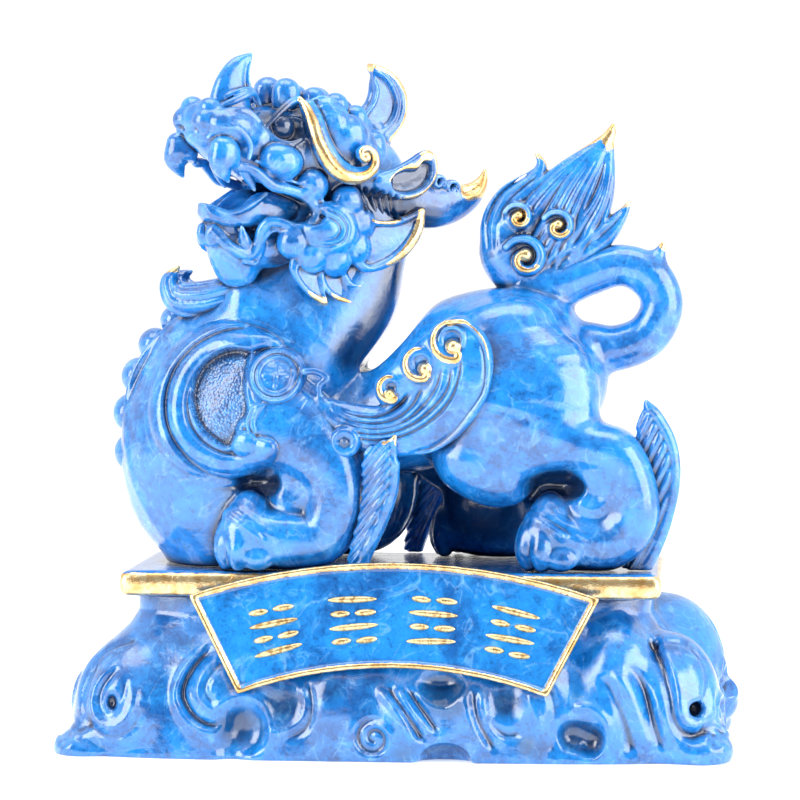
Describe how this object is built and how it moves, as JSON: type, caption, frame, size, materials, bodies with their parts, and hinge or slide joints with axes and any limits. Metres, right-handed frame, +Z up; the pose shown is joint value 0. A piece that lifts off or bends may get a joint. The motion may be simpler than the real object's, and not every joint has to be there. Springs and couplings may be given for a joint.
{
  "type": "pixiu figure",
  "caption": "Winged lion-dragon figure, head turned and mouth open, crouching on a rockwork plinth with a fan-shaped plaque.",
  "frame": {"origin": "middle of the plinth's underside", "axes": "+X towards the tail along the plinth, -Y towards the side with the plaque, +Z up"},
  "size_m": [0.2767, 0.1267, 0.2748],
  "materials": {
    "lacquer": "glossy marbled blue lacquer with navy in the recesses, rubbed back to gold-coloured metal on raised edges",
    "plaque_lacquer": "glossy blue lacquer, with the rim and the raised strokes rubbed back to gold-coloured metal"
  },
  "bodies": {
    "root": {"pixiu": "lacquer", "plinth": "lacquer", "plaque": "plaque_lacquer"}
  },
  "joints": []
}
